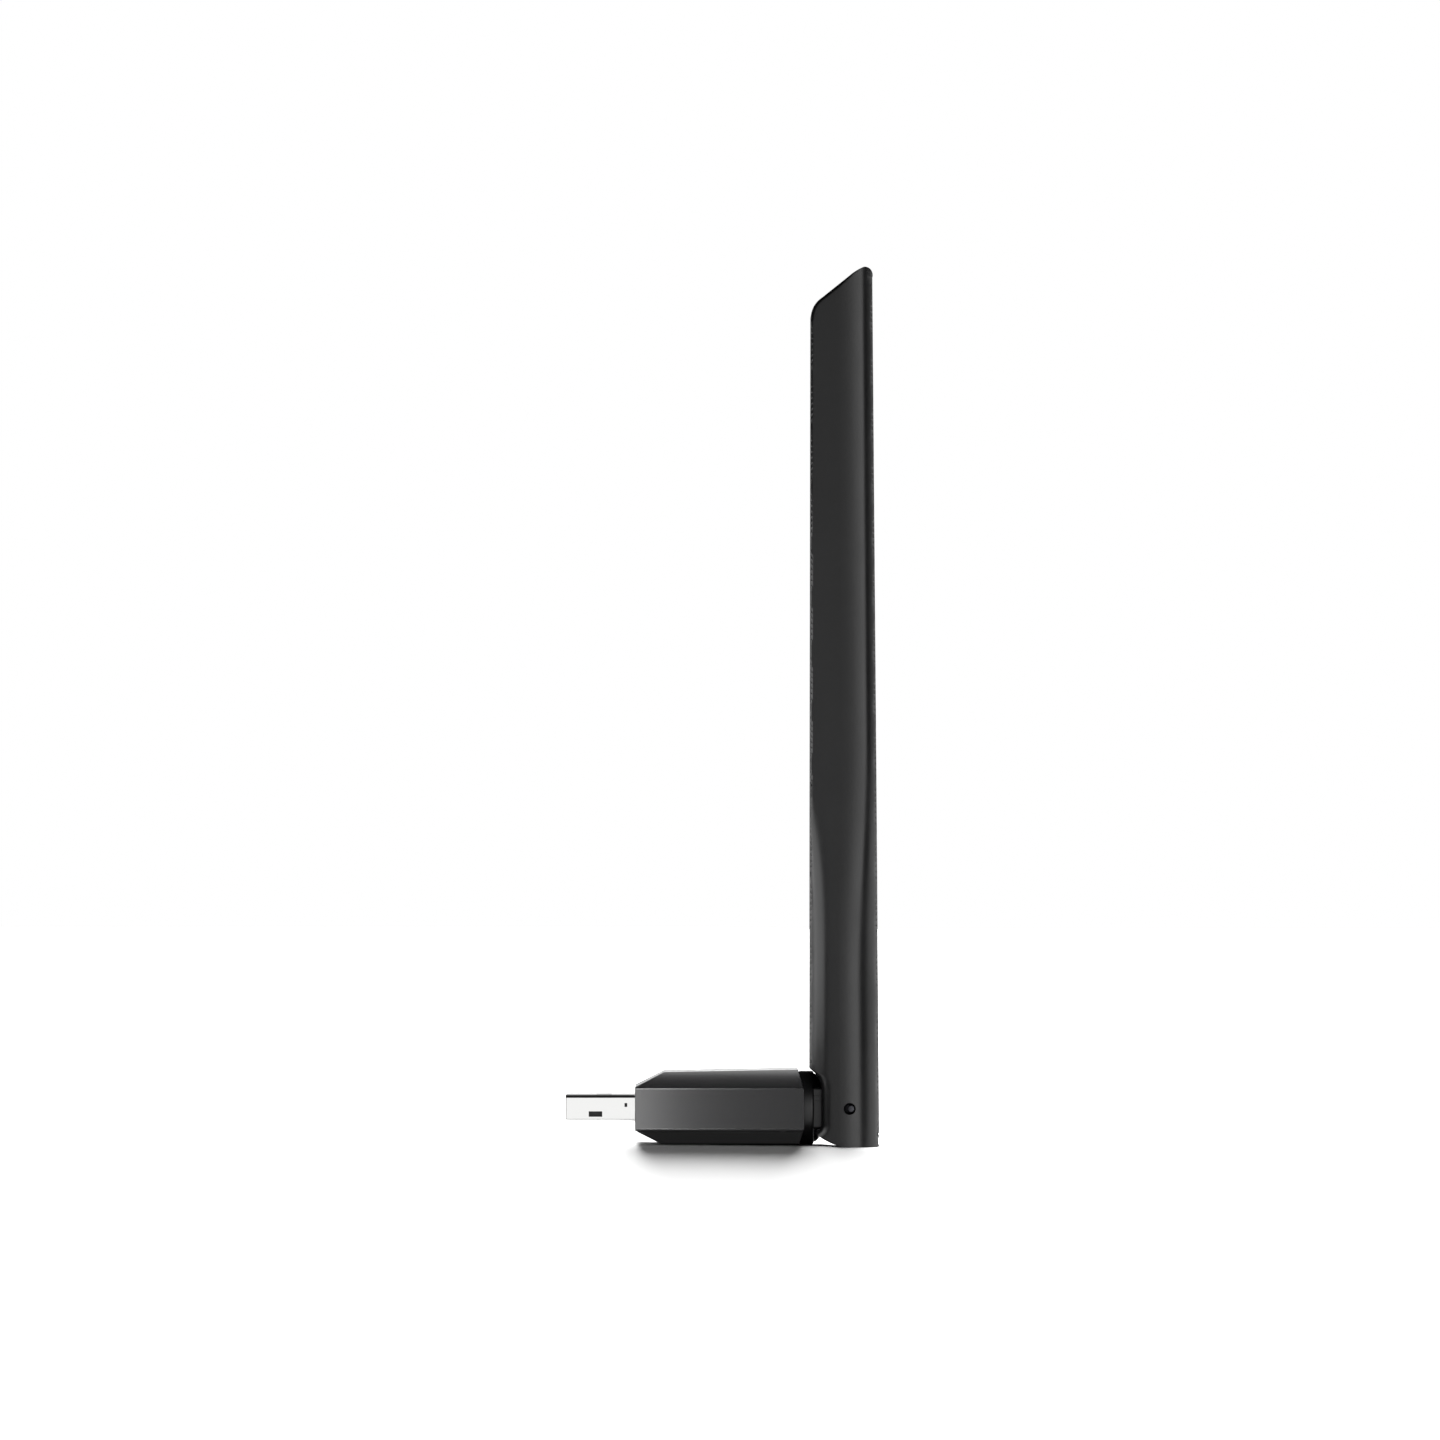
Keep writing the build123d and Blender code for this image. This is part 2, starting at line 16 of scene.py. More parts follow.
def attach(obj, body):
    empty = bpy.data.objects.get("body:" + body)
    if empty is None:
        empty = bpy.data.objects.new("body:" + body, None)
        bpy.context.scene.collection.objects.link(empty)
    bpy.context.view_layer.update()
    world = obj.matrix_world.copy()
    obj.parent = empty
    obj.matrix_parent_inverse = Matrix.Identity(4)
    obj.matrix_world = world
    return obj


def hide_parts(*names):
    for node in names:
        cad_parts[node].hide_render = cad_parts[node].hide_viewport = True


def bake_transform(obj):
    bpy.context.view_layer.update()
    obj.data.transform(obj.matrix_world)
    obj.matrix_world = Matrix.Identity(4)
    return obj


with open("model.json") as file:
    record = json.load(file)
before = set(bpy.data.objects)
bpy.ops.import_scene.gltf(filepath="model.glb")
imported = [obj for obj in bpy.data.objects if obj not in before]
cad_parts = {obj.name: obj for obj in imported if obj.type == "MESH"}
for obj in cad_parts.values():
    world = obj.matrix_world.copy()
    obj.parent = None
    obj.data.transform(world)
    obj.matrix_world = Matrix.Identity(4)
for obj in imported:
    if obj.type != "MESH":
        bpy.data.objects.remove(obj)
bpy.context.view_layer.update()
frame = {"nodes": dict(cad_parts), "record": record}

# %% [markdown]
# The adapter is a small thing: its edges are rounded by tenths of a millimetre. Mesh tools behave better with
# numbers near one than with numbers near a ten-thousandth, so every piece is shaped in millimetres and made
# small once, when it is finished. Three helpers do the repeated work: one makes an object from points and
# faces, one cuts a piece with others, and one finishes it.

# %% Helpers for shaping pieces
MM = 0.001


def new_piece(name, points, faces):
    """A mesh object from points in millimetres."""
    mesh = bpy.data.meshes.new(name)
    mesh.from_pydata(points, [], faces)
    mesh.validate()
    piece = bpy.data.objects.new(name, mesh)
    bpy.context.scene.collection.objects.link(piece)
    return piece


def apply_all(piece):
    """Turns a piece's modifiers into real mesh."""
    bpy.context.view_layer.update()
    graph = bpy.context.evaluated_depsgraph_get()
    shaped = bpy.data.meshes.new_from_object(piece.evaluated_get(graph))
    piece.modifiers.clear()
    piece.data = shaped
    shaped.name = piece.name


def combine(piece, others, how="DIFFERENCE"):
    """Cuts the other pieces out of this one, or joins them to it, and removes them."""
    for other in others:
        step = piece.modifiers.new("shape", "BOOLEAN")
        step.operation = how
        step.solver = "EXACT"
        step.object = other
    apply_all(piece)
    for other in others:
        bpy.data.objects.remove(other)
    return piece


def round_edges(piece, width, steps=3, angle=25):
    """Rounds every edge sharper than the angle."""
    bevel = piece.modifiers.new("round", "BEVEL")
    bevel.width = width
    bevel.segments = steps
    bevel.limit_method = "ANGLE"
    bevel.angle_limit = math.radians(angle)
    bevel.use_clamp_overlap = True
    apply_all(piece)
    return piece


def finish_piece(piece, body, material, slot, *nodes, angle=32, flats=False):
    """Scales a piece to real size, smooths it, gives it its material, attaches it to its body and hides the CAD nodes
    it stands for.
    """
    mesh = piece.data
    mesh.transform(Matrix.Scale(MM, 4))
    mesh.shade_smooth()
    mesh.set_sharp_from_angle(angle=math.radians(angle))
    if flats:
        keep_flat = piece.modifiers.new("keep_flat", "WEIGHTED_NORMAL")
        keep_flat.keep_sharp = True
        keep_flat.weight = 100
    mesh.materials.clear()
    mesh.materials.append(material)
    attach(piece, body)
    if nodes:
        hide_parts(*nodes)
    print(piece.name, "faces:", len(mesh.polygons))
    return piece


# %% [markdown]
# A box and a round bar are enough for most of the cutting. Both are given by where they start and stop, the
# way a drawing gives them, and not by a centre and a size.

# %% Boxes and bars
def box_piece(name, x, y, z):
    """A box from its limits, each a pair (low, high)."""
    points = [(x[i], y[j], z[k]) for i in (0, 1) for j in (0, 1) for k in (0, 1)]
    faces = [(0, 1, 3, 2), (4, 6, 7, 5), (0, 4, 5, 1), (2, 3, 7, 6), (0, 2, 6, 4), (1, 5, 7, 3)]
    return new_piece(name, points, faces)


def lathe_piece(name, profile, axis="X", centre=(0, 0, 0), sides=96):
    """Turns a profile of (along, radius) pairs about an axis. Its first and last radius are closed by a cap."""
    points, faces = [], []
    for along, radius in profile:
        for k in range(sides):
            turn = 2 * math.pi * k / sides
            a, b = radius * math.cos(turn), radius * math.sin(turn)
            spot = {"X": (along, a, b), "Y": (b, along, a), "Z": (a, b, along)}[axis]
            points.append(tuple(s + c for s, c in zip(spot, centre)))
    for ring in range(len(profile) - 1):
        for k in range(sides):
            a, b = ring * sides + k, ring * sides + (k + 1) % sides
            faces.append((a, b, b + sides, a + sides))
    faces.append(tuple(reversed(range(sides))))
    last = (len(profile) - 1) * sides
    faces.append(tuple(range(last, last + sides)))
    piece = new_piece(name, points, faces)
    fix_normals(piece)
    return piece


def fix_normals(piece):
    """Turns every face outward."""
    shape = bmesh.new()
    shape.from_mesh(piece.data)
    bmesh.ops.recalc_face_normals(shape, faces=shape.faces)
    shape.to_mesh(piece.data)
    shape.free()


def bar_piece(name, radius, start, stop, axis, centre=(0, 0, 0), sides=96):
    return lathe_piece(name, [(start, radius), (stop, radius)], axis, centre, sides)


# %% [markdown]
# Each finish is a node tree. One function adds a node: settings go on the node itself, and links name an input
# and what feeds it, which is either a number or colour, or another node's output.

# %% Colour and node helpers
def linear(hex_code):
    """An sRGB hex colour as the linear colour that shaders use."""
    parts = [int(hex_code[i:i + 2], 16) / 255 for i in (1, 3, 5)]
    return tuple(p / 12.92 if p <= 0.04045 else ((p + 0.055) / 1.055) ** 2.4 for p in parts) + (1.0,)


def add(tree, kind, links=None, **settings):
    """Adds a node, sets its options and fills its inputs."""
    made = tree.nodes.new(kind)
    for name, value in settings.items():
        setattr(made, name, value)
    for name, value in (links or {}).items():
        if isinstance(value, bpy.types.NodeSocket):
            tree.links.new(value, made.inputs[name])
        else:
            made.inputs[name].default_value = value
    return made


def new_finish(name, color, roughness, **sockets):
    """A material with one shader, its even values set on the shader's own sockets."""
    material = bpy.data.materials.new(name)
    material.use_nodes = True
    shader = material.node_tree.nodes["Principled BSDF"]
    shader.inputs["Base Color"].default_value = linear(color)
    shader.inputs["Roughness"].default_value = roughness
    for socket, value in sockets.items():
        shader.inputs[socket.replace("_", " ")].default_value = value
    return material, material.node_tree, shader


# %% [markdown]
# The antenna's casing is injection-moulded ABS. Its mould was etched to a fine matte grain of about 0.15 mm, which
# breaks up reflections and hides flow marks. A plain rough shader would look like paper, so a noise pattern of
# the grain's real size bumps the surface and a slower one makes the gloss uneven, as handling does. The case has
# the same grain with far less depth, which reads as satin, and the swivel is black acetal, a slippery plastic that
# suits a bearing.

# %% Moulded plastics
GRAIN, HANDLED = 0.15 * MM, 9 * MM


def moulded_plastic(name, color, roughness, grain_depth, uneven):
    """Black plastic from an etched mould."""
    material, tree, shader = new_finish(name, color, roughness, IOR=1.53)
    place = add(tree, "ShaderNodeTexCoord").outputs["Object"]
    grain = add(tree, "ShaderNodeTexNoise", {"Vector": place, "Scale": 1 / GRAIN, "Detail": 2.0})
    slow = add(tree, "ShaderNodeTexNoise", {"Vector": place, "Scale": 1 / HANDLED, "Detail": 3.0})
    spread = add(tree, "ShaderNodeMapRange", {"Value": slow.outputs["Fac"], "From Min": 0.3, "From Max": 0.7,
                                              "To Min": roughness - uneven, "To Max": roughness + uneven})
    tree.links.new(spread.outputs["Result"], shader.inputs["Roughness"])
    bump = add(tree, "ShaderNodeBump", {"Height": grain.outputs["Fac"], "Strength": 0.5, "Distance": grain_depth})
    tree.links.new(bump.outputs["Normal"], shader.inputs["Normal"])
    return material


abs_matte = moulded_plastic("abs_matte_etched", "#101011", 0.33, 0.012 * MM, 0.03)
abs_satin = moulded_plastic("abs_satin_moulded", "#070708", 0.25, 0.002 * MM, 0.004)
pom_black = moulded_plastic("pom_black_moulded", "#0c0c0d", 0.38, 0.004 * MM, 0.02)
print("plastics:", abs_matte.name, abs_satin.name, pom_black.name)

# %% [markdown]
# The plug's sleeve is thin steel, folded and plated with nickel: almost a mirror, with faint draw marks along its
# length. The draw marks are noise stretched along X, far finer across than along. The other metals are made the
# same way. Spring steel is greyer and a little dull, the pins are blackened so that they stay dark in their holes,
# gold plating is warm and smooth, tin is pale and soft, and etched copper is reddish and nearly matte.

# %% Metals
def drawn_metal(name, color, roughness, streak, depth, along="X"):
    """Metal with faint marks drawn out along one direction."""
    material, tree, shader = new_finish(name, color, roughness, Metallic=1.0)
    place = add(tree, "ShaderNodeTexCoord").outputs["Object"]
    stretch = [1 / streak] * 3
    stretch["XYZ".index(along)] = 1 / (40 * streak)
    mapped = add(tree, "ShaderNodeMapping", {"Vector": place, "Scale": stretch})
    marks = add(tree, "ShaderNodeTexNoise", {"Vector": mapped.outputs["Vector"], "Scale": 1.0, "Detail": 3.0})
    bump = add(tree, "ShaderNodeBump", {"Height": marks.outputs["Fac"], "Strength": 0.3, "Distance": depth})
    tree.links.new(bump.outputs["Normal"], shader.inputs["Normal"])
    return material


nickel = drawn_metal("nickel_plated_steel", "#dcdcdb", 0.12, 0.08 * MM, 0.0015 * MM)
spring_steel = drawn_metal("spring_steel", "#a9a9a8", 0.3, 0.1 * MM, 0.002 * MM)
dark_steel = drawn_metal("steel_blackened", "#55555a", 0.42, 0.1 * MM, 0.002 * MM, "Y")
gold = drawn_metal("gold_plated_brass", "#d9b25a", 0.2, 0.08 * MM, 0.001 * MM)
tin = drawn_metal("tin_plated_steel", "#c3c4c2", 0.32, 0.12 * MM, 0.002 * MM)
copper = drawn_metal("copper_etched", "#c77f52", 0.35, 0.12 * MM, 0.001 * MM, "Z")
print("metals:", nickel.name, spring_steel.name, dark_steel.name, gold.name, tin.name, copper.name)

# %% [markdown]
# The pieces inside are seen only through the plug's mouth or with the case open, but each still has the finish of
# the real thing. Solder mask is a glossy green lacquer over glass cloth, and chips are matte black epoxy. The plug's
# tongue is dull black polymer, fired ceramic is tan, the cable's jacket is a smooth fluoropolymer with a faint sheen,
# solder is bright and lumpy, and the foam is dark with pores that catch no light.

# %% Inner finishes
def mottled(name, color, roughness, size, depth, **sockets):
    """A plain finish with a fine uneven surface."""
    material, tree, shader = new_finish(name, color, roughness, **sockets)
    place = add(tree, "ShaderNodeTexCoord").outputs["Object"]
    cloud = add(tree, "ShaderNodeTexNoise", {"Vector": place, "Scale": 1 / size, "Detail": 2.0})
    bump = add(tree, "ShaderNodeBump", {"Height": cloud.outputs["Fac"], "Strength": 0.4, "Distance": depth})
    tree.links.new(bump.outputs["Normal"], shader.inputs["Normal"])
    return material


solder_mask = mottled("solder_mask_green", "#0f5a34", 0.25, 0.4 * MM, 0.01 * MM, IOR=1.55)
epoxy_chip = mottled("epoxy_chip_matte", "#232326", 0.5, 0.1 * MM, 0.005 * MM, IOR=1.55)
tongue_black = mottled("lcp_black_moulded", "#151516", 0.45, 0.3 * MM, 0.005 * MM, IOR=1.55)
ceramic = mottled("ceramic_fired", "#a98a68", 0.45, 0.1 * MM, 0.004 * MM, IOR=1.6)
jacket = mottled("fep_jacket_black", "#1a1a1c", 0.35, 0.5 * MM, 0.01 * MM, IOR=1.34)
bright_solder = mottled("solder_bright", "#c8c8c6", 0.25, 0.5 * MM, 0.03 * MM, Metallic=1.0)
foam_black = mottled("foam_closed_cell", "#2b2b2d", 0.85, 0.25 * MM, 0.08 * MM, IOR=1.45)

FINISH = {
    "plug_shell": nickel, "plug_insulator": tongue_black, "contact_gold": gold, "case_black": abs_satin,
    "swivel_black": pom_black, "bearing_pom": pom_black, "washer_steel": spring_steel, "pin_steel": dark_steel,
    "board_green": solder_mask, "shield_tin": tin, "chip_black": epoxy_chip, "crystal_can": tin,
    "ceramic": ceramic, "socket_gold": gold, "cable_jacket": jacket, "antenna_black": abs_matte,
    "element_copper": copper, "solder": bright_solder, "foam": foam_black,
}
NODE_SLOT = {entry["node"]: entry["material_slot"] for entry in frame["record"]["subparts"]}
for node_name, cad_piece in frame["nodes"].items():
    slot_name = NODE_SLOT[node_name]
    cad_piece.data.materials.clear()
    cad_piece.data.materials.append(FINISH[slot_name])
    cad_piece.data.shade_smooth()
    cad_piece.data.set_sharp_from_angle(angle=math.radians(30))
print("CAD nodes finished:", len(frame["nodes"]))

# %% [markdown]
# The case is two mouldings, a deep cover and a shallow tray, that together make a bar with flat facets. A shape
# bounded only by flat faces is easiest to carve: start with a block and slice off everything outside each plane.
# Each cover is carved on its own, so that rounding its edges leaves the fine V-shaped groove where they meet.

# %% Carve the case covers
CASE_HALF_W, FACET_Z = 9.0, 3.4
CASE_END, CASE_END_TOP = 28.2, 27.25
CASE_FRONT_Z, NOSE_SLOPE = 3.67, 0.517
SHOULDER_Z = 6.3
TOP_Z, TOP_RISE = 6.07, 0.0177
BOTTOM_Z, BOTTOM_FALL = -5.89, 0.0084
UPPER_FACET, LOWER_FACET = (2.9, 2.8), (2.62, -2.8)
PARTING_Z, PARTING_GAP = -3.8, 0.03
COVER_EDGE_R = 0.16


def carve(name, low, high, planes):
    """Slices a block by planes, each a (point, outward direction) pair."""
    points = [(x, y, z) for x in (low[0], high[0]) for y in (low[1], high[1]) for z in (low[2], high[2])]
    shape = bmesh.new()
    for point in points:
        shape.verts.new(point)
    bmesh.ops.convex_hull(shape, input=shape.verts)
    for point, outward in planes:
        geometry = list(shape.verts) + list(shape.edges) + list(shape.faces)
        cut = bmesh.ops.bisect_plane(shape, geom=geometry, dist=1e-6, plane_co=point, plane_no=outward,
                                     clear_outer=True)
        rim = [e for e in cut["geom_cut"] if isinstance(e, bmesh.types.BMEdge)]
        if rim:
            bmesh.ops.contextual_create(shape, geom=rim)
    bmesh.ops.remove_doubles(shape, verts=shape.verts, dist=1e-5)
    bmesh.ops.dissolve_limit(shape, angle_limit=0.002, verts=shape.verts, edges=shape.edges)
    bmesh.ops.recalc_face_normals(shape, faces=shape.faces)
    mesh = bpy.data.meshes.new(name)
    shape.to_mesh(mesh)
    shape.free()
    piece = bpy.data.objects.new(name, mesh)
    bpy.context.scene.collection.objects.link(piece)
    return piece


def case_planes(inset=0.0):
    """The case's flat faces as planes, moved inward by the inset."""
    lean = (CASE_END - CASE_END_TOP) / (SHOULDER_Z - FACET_Z)
    planes = []
    for side in (-1, 1):
        edge = Vector((15, side * CASE_HALF_W, 0))
        upper = Vector((0, side * UPPER_FACET[0], UPPER_FACET[1])).normalized()
        lower = Vector((0, side * LOWER_FACET[0], LOWER_FACET[1])).normalized()
        planes.append((edge, Vector((0, side, 0))))
        planes.append((edge + Vector((0, 0, FACET_Z)), upper))
        planes.append((edge - Vector((0, 0, FACET_Z)), lower))
    planes.append((Vector((0, 0, TOP_Z)), Vector((-TOP_RISE, 0, 1)).normalized()))
    planes.append((Vector((0, 0, BOTTOM_Z)), Vector((-BOTTOM_FALL, 0, -1)).normalized()))
    planes.append((Vector((0, 0, 0)), Vector((-1, 0, 0))))
    for up in (-1, 1):
        planes.append((Vector((0, 0, up * CASE_FRONT_Z)), Vector((-NOSE_SLOPE, 0, up)).normalized()))
        planes.append((Vector((CASE_END, 0, up * FACET_Z)), Vector((1, 0, up * lean)).normalized()))
    planes.append((Vector((CASE_END, 0, 0)), Vector((1, 0, 0))))
    return [(point - outward * inset, outward) for point, outward in planes]


BLOCK_LOW, BLOCK_HIGH = (-5, -15, -12), (35, 15, 12)
seam_up = (Vector((0, 0, PARTING_Z + PARTING_GAP)), Vector((0, 0, -1)))
seam_down = (Vector((0, 0, PARTING_Z - PARTING_GAP)), Vector((0, 0, 1)))
case_top = carve("case_top", BLOCK_LOW, BLOCK_HIGH, case_planes() + [seam_up])
case_tray = carve("case_tray", BLOCK_LOW, BLOCK_HIGH, case_planes() + [seam_down])
for cover in (case_top, case_tray):
    round_edges(cover, COVER_EDGE_R, steps=4, angle=8)
print("covers carved:", len(case_top.data.polygons), len(case_tray.data.polygons))

# %% [markdown]
# Both covers are thin-walled. The hollow is the same set of planes moved inward by the wall, stopped at the front
# wall and behind the bearing. The mouth for the plug and the round seat for the swivel are cut last.

# %% Hollow the covers
WALL = 1.25
HOLLOW_X0, HOLLOW_X1 = 1.4, 27.2
MOUTH_HALF_W, MOUTH_HALF_H = 6.05, 2.3
SEAT_R, SEAT_X = 6.35, 27.1
hollow_ends = [(Vector((HOLLOW_X0, 0, 0)), Vector((-1, 0, 0))), (Vector((HOLLOW_X1, 0, 0)), Vector((1, 0, 0)))]
for cover in (case_top, case_tray):
    hollow = carve("hollow", BLOCK_LOW, BLOCK_HIGH, case_planes(WALL) + hollow_ends)
    mouth = box_piece("mouth", (-3, 5), (-MOUTH_HALF_W, MOUTH_HALF_W), (-MOUTH_HALF_H, MOUTH_HALF_H))
    seat = bar_piece("seat", SEAT_R, SEAT_X, 30, "X", sides=128)
    combine(cover, [hollow, mouth, seat])
finish_piece(case_top, "adapter", abs_satin, "case_black", "top_cover", angle=30, flats=True)
finish_piece(case_tray, "adapter", abs_satin, "case_black", "bottom_cover", angle=30, flats=True)

# %% [markdown]
# The swivel is one moulding: a round base, a spigot that turns in the case, and a block that carries the cross
# pins. The base and spigot are a profile of radius against length, spun about the plug's axis. The rim is rounded
# on its outer side, a low dome leads into the block, and two fine notches cross each side of the block.

# %% Swivel base and spigot
FLANGE_R, SPIGOT_R, GROOVE_R = 6.15, 3.2, 2.6
GROOVE_X0, GROOVE_X1 = 24.12, 24.68


def rounded_rim(x, radius, size, steps=6):
    """Profile points for a rounded corner at the end of a disc."""
    turns = [math.pi / 2 * k / steps for k in range(steps + 1)]
    return [(x - size + size * math.sin(t), radius - size + size * math.cos(t)) for t in turns]


base_profile = [(23.2, 3.0), (23.4, SPIGOT_R), (GROOVE_X0, SPIGOT_R), (GROOVE_X0, GROOVE_R), (GROOVE_X1, GROOVE_R),
                (GROOVE_X1, SPIGOT_R), (27.35, SPIGOT_R), (27.35, 6.0), (27.5, FLANGE_R)]
base_profile += rounded_rim(29.85, FLANGE_R, 0.4)
swivel_base = lathe_piece("swivel_base", base_profile, "X", sides=160)

PIN_X, PIN_R, BLOCK_R, BLOCK_HALF_W, BLOCK_EDGE_R = 35.8, 0.95, 3.5, 5.1, 0.5
NOTCH_DEEP, NOTCH_HALF_H, NOTCH_HEIGHTS = 0.25, 0.1, (1.25, 2.1)


def outline_prism(name, outline, y0, y1):
    """A closed outline of (x, z) points pulled along Y."""
    count = len(outline)
    points = [(x, y0, z) for x, z in outline] + [(x, y1, z) for x, z in outline]
    faces = [tuple(range(count)), tuple(reversed(range(count, 2 * count)))]
    faces += [(k, k + count, (k + 1) % count + count, (k + 1) % count) for k in range(count)]
    piece = new_piece(name, points, faces)
    fix_normals(piece)
    return piece


def arc(centre, radius, start, stop, steps):
    """Points along an arc in the XZ plane, angles in degrees from +X towards +Z."""
    turns = [math.radians(start + (stop - start) * k / steps) for k in range(steps + 1)]
    return [(centre[0] + radius * math.cos(t), centre[1] + radius * math.sin(t)) for t in turns]


block_outline = [(29.2, -BLOCK_R)] + arc((PIN_X, 0), BLOCK_R, -90, 90, 40) + [(29.2, BLOCK_R)]
swivel_block = outline_prism("swivel_block", block_outline, -BLOCK_HALF_W, BLOCK_HALF_W)
round_edges(swivel_block, BLOCK_EDGE_R, steps=6, angle=40)
DOME = [(29.4, 5.75), (29.85, 5.75), (30.3, 5.55), (30.7, 5.15), (31.05, 4.55), (31.25, 4.0), (31.4, 3.3)]
dome = lathe_piece("dome", DOME, "X", sides=120)
dome_sides = [box_piece("trim", (29, 32), (y0, y1), (-7, 7)) for y0, y1 in ((-7, -4.87), (4.87, 7))]
combine(dome, dome_sides)
combine(swivel_base, [swivel_block, dome], "UNION")
cable_slot = box_piece("cable_slot", (31.2, 42), (-1.5, 1.5), (-1.3, 6))
cable_bore = bar_piece("cable_bore", 1.3, 20, 32, "X", sides=48)
pin_bores = [bar_piece("pin_bore", PIN_R, y0, y1, "Y", (PIN_X, 0, 0), 48) for y0, y1 in ((-7, -3.2), (3.2, 7))]
notches = []
for side in (-1, 1):
    for z in NOTCH_HEIGHTS:
        y0, y1 = sorted((side * (BLOCK_HALF_W - NOTCH_DEEP), side * 7))
        notches.append(box_piece("notch", (29.9, 33.0), (y0, y1), (z - NOTCH_HALF_H, z + NOTCH_HALF_H)))
combine(swivel_base, [cable_slot, cable_bore, *pin_bores, *notches])
finish_piece(swivel_base, "swivel", pom_black, "swivel_black", "swivel_knuckle", angle=28, flats=True)

# %% [markdown]
# Each half of the antenna's casing is like a long pillow. Seen from the side it has an exact outline: an upright
# front, a back that leans forward, a sloped top, a round heel and a bite for the swivel. Every edge of the outline
# is rounded, some by a few tenths of a millimetre and the back by two or three. So the half is made as a depth
# over its outline: the side's depth at a point follows from how far the point is from each edge and how round that
# edge is.

# %% Outline of the antenna
ANT_BOTTOM, ANT_TOP = -6.45, 140.7
FOOT_TOP = 6.67
FRONT_X, FRONT_LEAN = 29.1, 0.25
BACK_X, BACK_LEAN = 40.8, 1.2


def share(z):
    return (z - ANT_BOTTOM) / (ANT_TOP - ANT_BOTTOM)


def front_x(z):
    return FRONT_X + FRONT_LEAN * share(z)


def back_x(z):
    return BACK_X - BACK_LEAN * share(z)


def through(start, middle, end, steps):
    """Points on the circle arc through three points, without the first."""
    (ax, az), (bx, bz), (cx, cz) = start, middle, end
    d = 2 * (ax * (bz - cz) + bx * (cz - az) + cx * (az - bz))
    a2, b2, c2 = ax * ax + az * az, bx * bx + bz * bz, cx * cx + cz * cz
    ux = (a2 * (bz - cz) + b2 * (cz - az) + c2 * (az - bz)) / d
    uz = (a2 * (cx - bx) + b2 * (ax - cx) + c2 * (bx - ax)) / d
    radius = math.hypot(ax - ux, az - uz)
    t0, t1, t2 = (math.atan2(z - uz, x - ux) for x, z in (start, middle, end))
    sweep = (t2 - t0) % (2 * math.pi)
    if (t1 - t0) % (2 * math.pi) > sweep:
        sweep -= 2 * math.pi
    return [(ux + radius * math.cos(t0 + sweep * k / steps), uz + radius * math.sin(t0 + sweep * k / steps))
            for k in range(1, steps + 1)]


def straight(start, end, spacing):
    """Points along a straight line, without the first."""
    steps = max(1, round(math.dist(start, end) / spacing))
    return [tuple(a + (b - a) * k / steps for a, b in zip(start, end)) for k in range(1, steps + 1)]


heel_tip, heel_end = (29.95, -4.02), (34.9, ANT_BOTTOM)
bite_top, bite_low = (31.1, 2.7), (31.1, -2.4)
shoulder, slope_low, slope_high = (front_x(132.2), 132.2), (31.2, 135.3), (35.7, 138.9)
peak, back_top = (38.2, 140.45), (back_x(138.7), 138.7)
bottom_corner = (back_x(ANT_BOTTOM) - 0.25, ANT_BOTTOM)
back_low = (back_x(ANT_BOTTOM + 0.25), ANT_BOTTOM + 0.25)
EDGES = {
    "heel": [heel_tip] + through(heel_tip, (32.2, -5.5), heel_end, 24) + straight(heel_end, bottom_corner, 0.4)
            + through(bottom_corner, (back_low[0] - 0.075, ANT_BOTTOM + 0.075), back_low, 5),
    "back": [back_low] + straight(back_low, back_top, 1.0),
    "top": [back_top] + through(back_top, (39.36, 140.0), peak, 12) + through(peak, (37.0, 139.85), slope_high, 6)
           + straight(slope_high, slope_low, 0.4) + through(slope_low, (29.9, 133.95), shoulder, 14),
    "front": [shoulder] + straight(shoulder, (front_x(FOOT_TOP), FOOT_TOP), 1.0),
    "bite": [(front_x(FOOT_TOP), FOOT_TOP)] + through((front_x(FOOT_TOP), FOOT_TOP), (30.6, 5.1), bite_top, 20)
            + straight(bite_top, bite_low, 0.3) + through(bite_low, (30.75, -3.5), heel_tip, 10),
}
outline = [point for edge in EDGES.values() for point in edge[1:]]
print("antenna outline points:", len(outline))

# %% [markdown]
# The corners change along the length. At the front the side turns gently near the foot and ends crisply above the
# middle. At the back a slow crown runs into a rounder corner. The half-width narrows a little towards the top.

# %% Depth of the antenna's side
HALF_W_FOOT, NARROWING, NARROWS_FROM = 9.0, 1.4, 10
FRONT_R, CRISP_R, BITE_R, HEEL_R, TOP_R = 3.35, 0.35, 1.7, 0.13, 0.6


def smooth_step(value, low, high):
    t = min(1.0, max(0.0, (value - low) / (high - low)))
    return t * t * (3 - 2 * t)


def half_width(z):
    return HALF_W_FOOT - NARROWING * max(0.0, (z - NARROWS_FROM) / (ANT_TOP - NARROWS_FROM))


def front_corner(z):
    """How far the front corner reaches along the side, and how deep it falls; it flattens out higher up."""
    return FRONT_R, FRONT_R * (1 - smooth_step(z, 26, 58))


def back_corner(z):
    """Reach and steepness of the slow crown, and the radius of the corner at its end."""
    fullness = 1 - smooth_step(z, 20, 62)
    return 5.9 + 1.3 * fullness, 0.031 + 0.009 * fullness, 1.9 + 1.5 * fullness


def distance_to(line, x, z):
    """Shortest distance from a point to a line of points."""
    best = 1e9
    for (ax, az), (bx, bz) in zip(line, line[1:]):
        dx, dz = bx - ax, bz - az
        t = max(0.0, min(1.0, ((x - ax) * dx + (z - az) * dz) / (dx * dx + dz * dz)))
        best = min(best, math.hypot(x - ax - t * dx, z - az - t * dz))
    return best


def rounded_off(distance, reach, fall=None):
    """How far a rounded edge falls away from the flat, at a distance from the edge."""
    if distance >= reach:
        return 0.0
    along = 1 - max(0.0, distance) / reach
    return (reach if fall is None else fall) * (1 - math.sqrt(max(0.0, 1 - along * along)))


